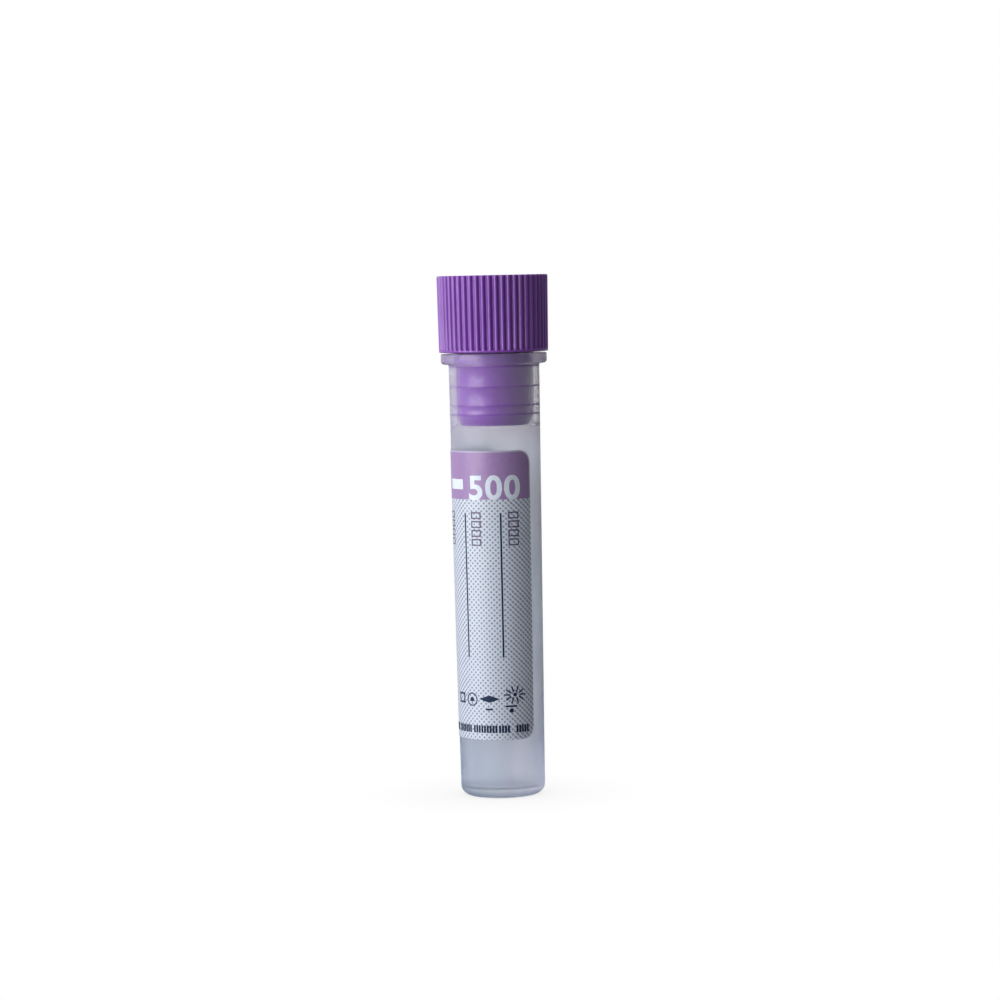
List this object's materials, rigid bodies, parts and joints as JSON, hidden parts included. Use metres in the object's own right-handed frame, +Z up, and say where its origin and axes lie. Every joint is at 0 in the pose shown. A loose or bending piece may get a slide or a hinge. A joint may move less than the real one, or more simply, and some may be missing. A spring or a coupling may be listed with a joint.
{
  "type": "blood collection tube",
  "caption": "Small flat-bottomed sample tube with a flanged mouth, a ribbed push-in stopper and a wrap-round writing label.",
  "frame": {"origin": "centre of the flat base, on the surface that the tube stands on", "axes": "+Z up along the tube's axis, -Y out of the front, where the label's header and its right edge show, +X to the right of the front"},
  "size_m": [0.015, 0.015, 0.0703],
  "materials": {
    "tube_plastic": "natural translucent polypropylene, lightly hazed",
    "stopper_plastic": "satin purple polyethylene",
    "label_paper": "semi-gloss white face with a fine dot print",
    "header_ink": "flat purple ink",
    "line_ink": "flat dark ink"
  },
  "bodies": {
    "tube": {"tube": "tube_plastic", "label": "label_paper", "label_header": "header_ink", "label_writing_lines": "line_ink"},
    "stopper": {"stopper": "stopper_plastic"}
  },
  "joints": [
    {"name": "stopper_pull", "type": "slide", "parent": "tube", "child": "stopper", "axis": [0, 0, 1], "range_m": [0, 0.02]}
  ]
}
